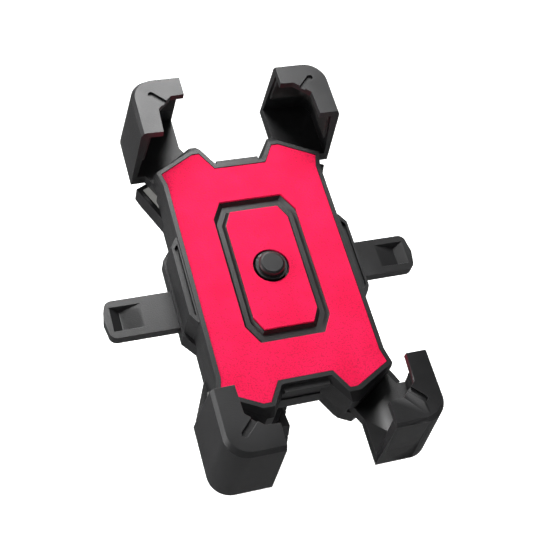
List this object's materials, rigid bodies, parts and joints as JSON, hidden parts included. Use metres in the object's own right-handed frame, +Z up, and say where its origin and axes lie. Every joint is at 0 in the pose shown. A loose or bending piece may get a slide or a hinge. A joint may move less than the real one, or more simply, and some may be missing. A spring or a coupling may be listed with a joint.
{
  "type": "phone handlebar mount",
  "caption": "Handlebar phone holder: spring claws close on the phone's corners, and a ball joint with a locking collar stands on a hinged bar clamp.",
  "frame": {"origin": "centre of the handlebar clamp's bore", "axes": "+X along the handlebar to the rider's right, +Y forwards, +Z up; the cradle leans back towards the rider"},
  "size_m": [0.1386, 0.1617, 0.1788],
  "materials": {
    "frame_plastic": "fine moulded grain",
    "cover_plastic": "fine moulded grain",
    "inner_plastic": "plain moulded",
    "collar_plastic": "moulded grip",
    "claw_plastic": "fine moulded grain",
    "wing_plastic": "fine moulded grain",
    "clamp_plastic": "glass-filled moulding",
    "button_plastic": "satin",
    "grip_pad": "matt, finely speckled",
    "rubber": "matt",
    "liner_acetal": "smooth",
    "steel": "plain",
    "spring_steel": "drawn wire",
    "black_steel": "black oxide",
    "anodised_metal": "black anodised",
    "brass": "turned"
  },
  "bodies": {
    "clamp": {"clamp_upper": "clamp_plastic", "ball_stud": "anodised_metal", "liner_upper": "rubber", "hinge_pin": "steel", "clamp_bolt": "black_steel"},
    "strap": {"clamp_lower": "clamp_plastic", "liner_lower": "rubber"},
    "washer": {"knob_washer": "steel"},
    "knob": {"clamp_knob": "collar_plastic", "knob_insert": "brass"},
    "liner": {"ball_liner": "liner_acetal"},
    "backing": {"liner_backing": "rubber"},
    "cradle": {"front_frame": "frame_plastic", "grip_pad": "grip_pad", "pad_island": "grip_pad", "back_cover": "cover_plastic", "guide_plate": "inner_plastic", "cover_screws": "black_steel", "socket_screws": "steel", "socket_cup": "cover_plastic", "pinion_axle": "steel", "button_spring": "spring_steel", "catch_spring": "spring_steel", "return_spring_left": "spring_steel", "return_spring_right": "spring_steel"},
    "collar": {"locking_collar": "collar_plastic"},
    "pinion": {"drive_pinion": "inner_plastic"},
    "wing_left": {"wing_left": "wing_plastic"},
    "wing_right": {"wing_right": "wing_plastic"},
    "button": {"release_button": "button_plastic"},
    "catch": {"catch_slide": "inner_plastic"},
    "claw_top_right": {"claw_top_right": "claw_plastic", "claw_pad_top_right": "rubber"},
    "claw_top_left": {"claw_top_left": "claw_plastic", "claw_pad_top_left": "rubber"},
    "claw_bottom_left": {"claw_bottom_left": "claw_plastic", "claw_pad_bottom_left": "rubber"},
    "claw_bottom_right": {"claw_bottom_right": "claw_plastic", "claw_pad_bottom_right": "rubber"}
  },
  "joints": [
    {"name": "ball_tilt", "type": "hinge", "parent": "clamp", "child": "liner", "pos_m": [0, -0.01268, 0.04422], "axis": [1, 0, 0], "range_deg": [-42, 8]},
    {"name": "ball_side_tilt", "type": "hinge", "parent": "liner", "child": "backing", "pos_m": [0, -0.01268, 0.04422], "axis": [0, 0.8326, 0.5538], "range_deg": [-18, 18]},
    {"name": "cradle_spin", "type": "hinge", "parent": "backing", "child": "cradle", "pos_m": [0, -0.01268, 0.04422], "axis": [0, -0.5538, 0.8326], "continuous": true},
    {"name": "collar_turn", "type": "hinge", "parent": "cradle", "child": "collar", "pos_m": [0, -0.01268, 0.04422], "axis": [0, -0.5538, 0.8326], "range_deg": [-30, 360]},
    {"name": "claws_close", "type": "slide", "parent": "cradle", "child": "claw_top_right", "axis": [-0.454, -0.7419, -0.4935], "range_m": [0, 0.0108]},
    {"name": "claw_top_left_slide", "type": "slide", "parent": "cradle", "child": "claw_top_left", "axis": [0.454, -0.7419, -0.4935], "range_m": [0, 0.0108]},
    {"name": "claw_bottom_left_slide", "type": "slide", "parent": "cradle", "child": "claw_bottom_left", "axis": [0.454, 0.7419, 0.4935], "range_m": [0, 0.0108]},
    {"name": "claw_bottom_right_slide", "type": "slide", "parent": "cradle", "child": "claw_bottom_right", "axis": [-0.454, 0.7419, 0.4935], "range_m": [0, 0.0108]},
    {"name": "wing_left_slide", "type": "slide", "parent": "cradle", "child": "wing_left", "axis": [1, 0, 0], "range_m": [0, 0.0108], "deforming": ["return_spring_left"]},
    {"name": "wing_right_slide", "type": "slide", "parent": "cradle", "child": "wing_right", "axis": [-1, 0, 0], "range_m": [0, 0.0108], "deforming": ["return_spring_right"]},
    {"name": "pinion_turn", "type": "hinge", "parent": "cradle", "child": "pinion", "pos_m": [0, -0.02652, 0.06503], "axis": [0, -0.5538, 0.8326], "range_deg": [0, 79]},
    {"name": "button_press", "type": "slide", "parent": "cradle", "child": "button", "axis": [0, 0.5538, -0.8326], "range_m": [0, 0.0025], "stiffness_N_per_m": 300, "springref_m": -0.002, "deforming": ["button_spring"]},
    {"name": "catch_release", "type": "slide", "parent": "cradle", "child": "catch", "axis": [0, -0.8326, -0.5538], "range_m": [0, 0.0025], "deforming": ["catch_spring"]},
    {"name": "clamp_open", "type": "hinge", "parent": "clamp", "child": "strap", "pos_m": [0, 0.02403, 0.00689], "axis": [1, 0, 0], "range_deg": [0, 8]},
    {"name": "knob_travel", "type": "slide", "parent": "clamp", "child": "washer", "axis": [0, 0.2756, -0.9613], "range_m": [0, 0.009]},
    {"name": "knob_turn", "type": "hinge", "parent": "washer", "child": "knob", "pos_m": [0, -0.02402, -0.02145], "axis": [0, -0.2756, 0.9613], "continuous": true}
  ],
  "couplings": [
    {"joint": "claw_top_left_slide", "follows": "claws_close", "ratio": 1},
    {"joint": "claw_bottom_left_slide", "follows": "claws_close", "ratio": 1},
    {"joint": "claw_bottom_right_slide", "follows": "claws_close", "ratio": 1},
    {"joint": "wing_left_slide", "follows": "claws_close", "ratio": 1},
    {"joint": "wing_right_slide", "follows": "claws_close", "ratio": 1},
    {"joint": "pinion_turn", "follows": "claws_close", "rad_per_m": 125},
    {"joint": "catch_release", "follows": "button_press", "ratio": 1},
    {"joint": "knob_travel", "follows": "clamp_open", "m_per_rad": 0.062}
  ]
}
